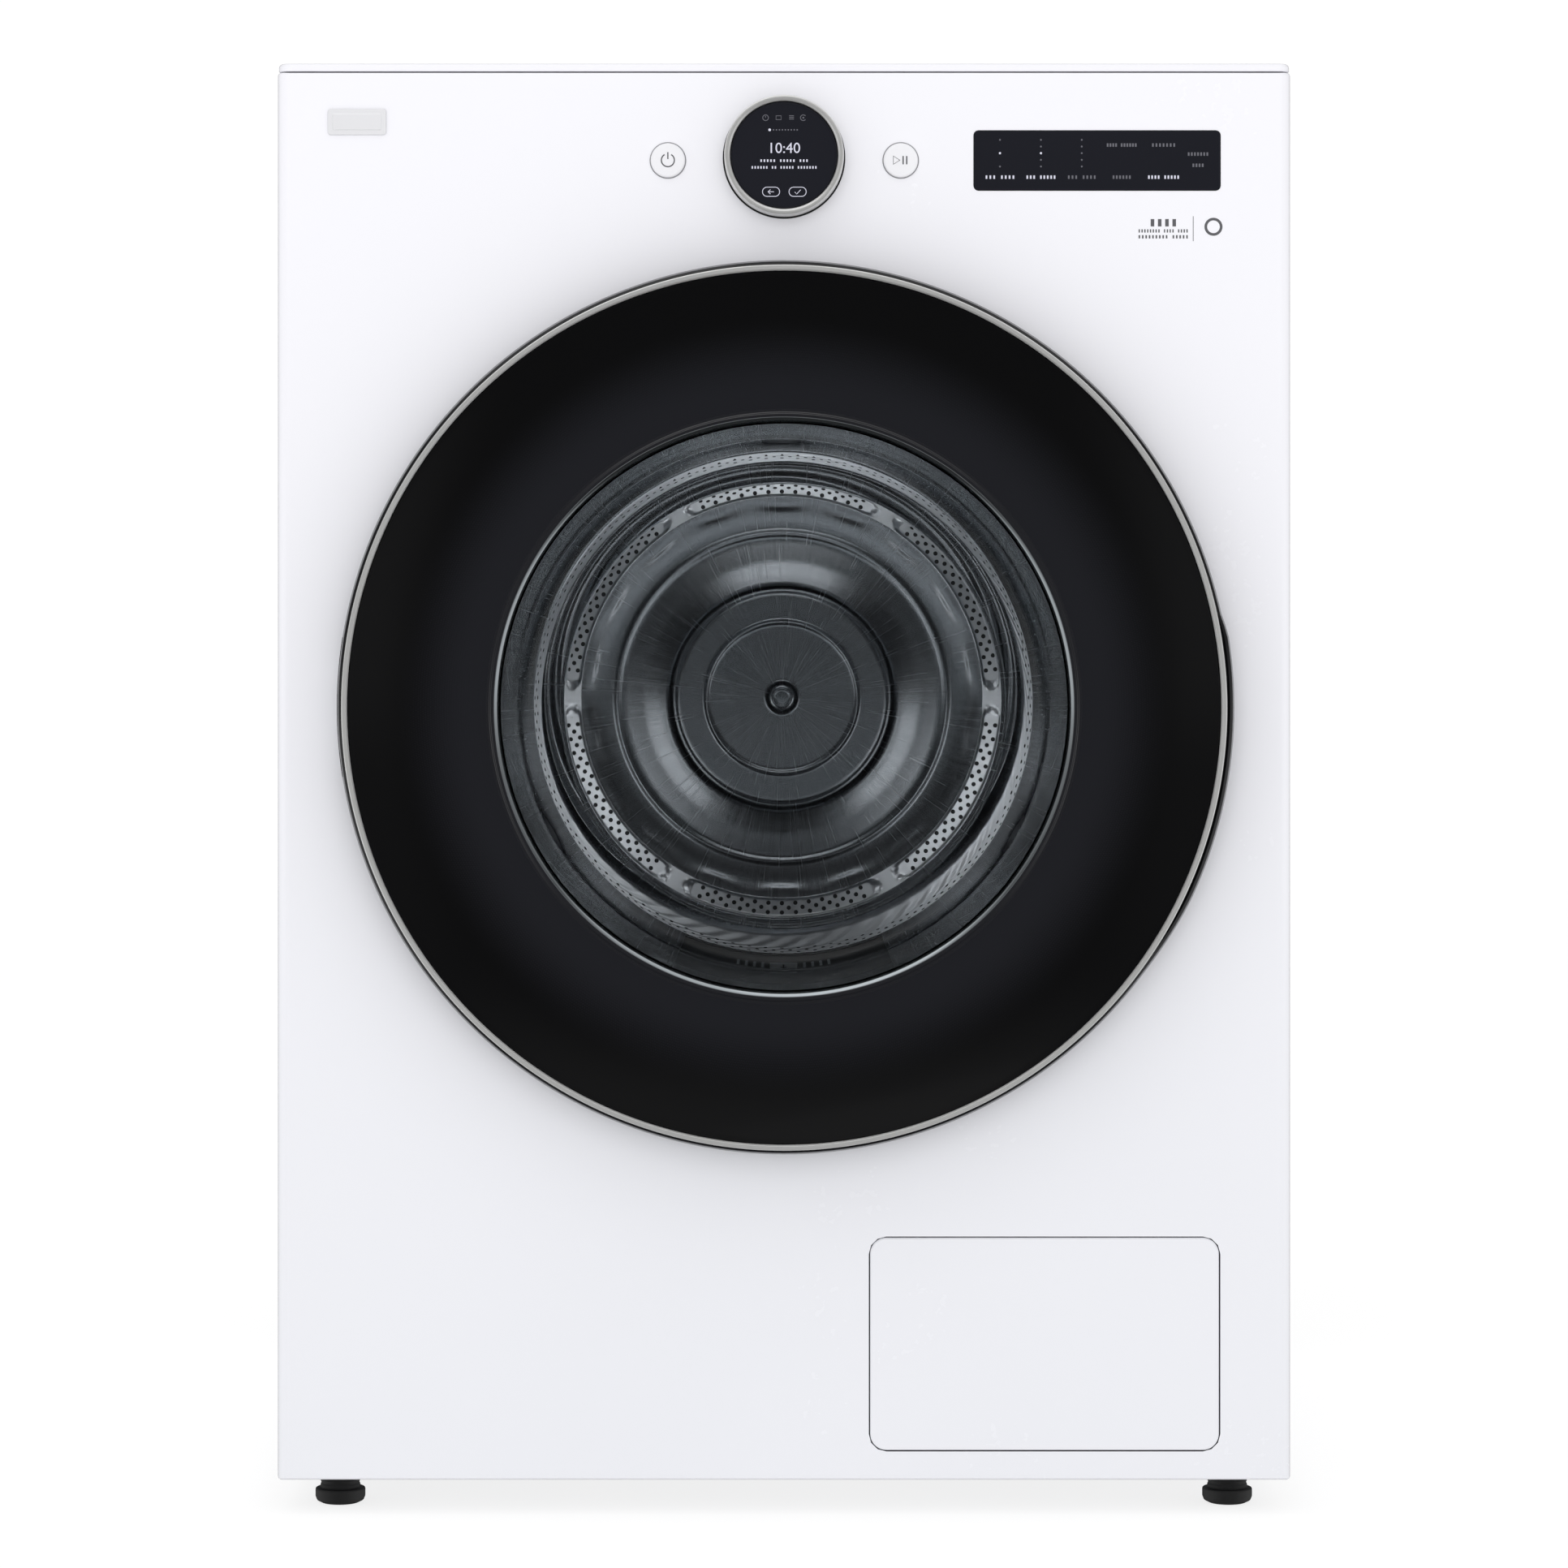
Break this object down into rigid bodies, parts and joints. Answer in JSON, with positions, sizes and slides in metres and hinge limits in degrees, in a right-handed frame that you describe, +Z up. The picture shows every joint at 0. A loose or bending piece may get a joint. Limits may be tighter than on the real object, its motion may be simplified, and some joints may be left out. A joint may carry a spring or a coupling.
{
  "type": "clothes dryer",
  "caption": "Free-standing front-loading heat-pump clothes dryer with a round glass door, control strip and lower access hatch.",
  "frame": {"origin": "middle of the footprint, on the floor", "axes": "+Z up, -Y towards the front of the machine, +X to the right seen from the front"},
  "size_m": [0.686, 0.772, 0.983],
  "materials": {
    "white_paint": "smooth gloss enamel",
    "white_plastic": "moulded, fine texture",
    "zinc_sheet": "galvanised sheet",
    "black_gloss": "piano black",
    "black_plastic": "moulded",
    "grey_plastic": "moulded",
    "satin_silver": "satin",
    "smoked_glass": "polished",
    "stainless": "brushed",
    "felt": "needled felt",
    "rubber": "matt",
    "green_board": "lacquered",
    "aluminium_fin": "rolled",
    "copper": "drawn",
    "steel": "machined"
  },
  "bodies": {
    "cabinet": {"base_pan": "grey_plastic", "left_side_panel": "white_paint", "right_side_panel": "white_paint", "rear_panel": "zinc_sheet", "top_cover": "white_paint", "front_panel": "white_paint", "front_bulkhead": "zinc_sheet", "rear_bulkhead": "zinc_sheet", "control_housing": "white_plastic", "control_board": "green_board", "dial_display": "black_gloss", "touch_lens": "black_gloss", "badge": "satin_silver", "door_gasket": "rubber", "door_latch": "grey_plastic", "door_hinge_bracket": "zinc_sheet", "drum_front_seal": "felt", "lint_filter": "grey_plastic", "rear_bearing": "steel", "drive_motor": "steel", "drum_belt": "rubber", "idler_bracket": "zinc_sheet", "blower_housing": "grey_plastic", "compressor": "steel", "air_duct": "grey_plastic", "evaporator": "aluminium_fin", "condenser": "aluminium_fin", "duct_filter": "grey_plastic", "refrigerant_pipe": "copper", "drain_pump": "white_plastic", "terminal_cover": "black_plastic", "drain_port": "grey_plastic", "rear_cover": "zinc_sheet", "hatch_frame": "white_plastic"},
    "door": {"door_frame": "black_gloss", "door_trim_ring": "satin_silver", "door_dish": "black_gloss", "door_bowl": "smoked_glass", "door_back_frame": "black_plastic", "door_hinge_arm": "zinc_sheet", "door_striker": "zinc_sheet"},
    "drum": {"drum_shell": "stainless", "drum_back": "stainless", "drum_shaft": "steel", "drum_lifter_1": "white_plastic", "drum_lifter_2": "white_plastic", "drum_lifter_3": "white_plastic"},
    "rotor": {"motor_pulley": "steel", "blower_wheel": "black_plastic"},
    "idler": {"idler_pulley": "black_plastic"},
    "left_roller": {"left_roller": "rubber"},
    "right_roller": {"right_roller": "rubber"},
    "dial": {"dial_ring": "satin_silver"},
    "power_button": {"power_button": "white_plastic"},
    "start_button": {"start_button": "white_plastic"},
    "hatch": {"hatch": "white_plastic"},
    "foot_front_left": {"foot_front_left": "rubber"},
    "foot_front_right": {"foot_front_right": "rubber"},
    "foot_rear_left": {"foot_rear_left": "rubber"},
    "foot_rear_right": {"foot_rear_right": "rubber"}
  },
  "joints": [
    {"name": "door_hinge", "type": "hinge", "parent": "cabinet", "child": "door", "pos_m": [-0.292, -0.354, 0.5476], "axis": [0, 0, -1], "range_deg": [0, 100]},
    {"name": "drum_spin", "type": "hinge", "parent": "cabinet", "child": "drum", "pos_m": [0, 0, 0.5476], "axis": [0, 1, 0], "continuous": true},
    {"name": "rotor_spin", "type": "hinge", "parent": "cabinet", "child": "rotor", "pos_m": [0.15, 0.1, 0.135], "axis": [0, 1, 0], "continuous": true},
    {"name": "idler_spin", "type": "hinge", "parent": "cabinet", "child": "idler", "pos_m": [0.02, 0.066, 0.165], "axis": [0, 1, 0], "continuous": true},
    {"name": "left_roller_spin", "type": "hinge", "parent": "cabinet", "child": "left_roller", "pos_m": [-0.1767, -0.252, 0.2416], "axis": [0, 1, 0], "continuous": true},
    {"name": "right_roller_spin", "type": "hinge", "parent": "cabinet", "child": "right_roller", "pos_m": [0.1767, -0.252, 0.2416], "axis": [0, 1, 0], "continuous": true},
    {"name": "dial_turn", "type": "hinge", "parent": "cabinet", "child": "dial", "pos_m": [0, -0.35, 0.919], "axis": [0, 1, 0], "continuous": true},
    {"name": "power_press", "type": "slide", "parent": "cabinet", "child": "power_button", "axis": [0, 1, 0], "range_m": [0, 0.0015], "stiffness_N_per_m": 400, "springref_m": -0.001},
    {"name": "start_press", "type": "slide", "parent": "cabinet", "child": "start_button", "axis": [0, 1, 0], "range_m": [0, 0.0015], "stiffness_N_per_m": 400, "springref_m": -0.001},
    {"name": "hatch_hinge", "type": "hinge", "parent": "cabinet", "child": "hatch", "pos_m": [0.0585, -0.3405, 0.1167], "axis": [0, 0, -1], "range_deg": [0, 95]},
    {"name": "foot_front_left_screw", "type": "slide", "parent": "cabinet", "child": "foot_front_left", "axis": [0, 0, -1], "range_m": [0, 0.02]},
    {"name": "foot_front_right_screw", "type": "slide", "parent": "cabinet", "child": "foot_front_right", "axis": [0, 0, -1], "range_m": [0, 0.02]},
    {"name": "foot_rear_left_screw", "type": "slide", "parent": "cabinet", "child": "foot_rear_left", "axis": [0, 0, -1], "range_m": [0, 0.02]},
    {"name": "foot_rear_right_screw", "type": "slide", "parent": "cabinet", "child": "foot_rear_right", "axis": [0, 0, -1], "range_m": [0, 0.02]}
  ],
  "couplings": [
    {"joint": "rotor_spin", "follows": "drum_spin", "ratio": 26.75},
    {"joint": "idler_spin", "follows": "drum_spin", "ratio": 17.39},
    {"joint": "left_roller_spin", "follows": "drum_spin", "ratio": -9.0857},
    {"joint": "right_roller_spin", "follows": "drum_spin", "ratio": -9.0857}
  ]
}
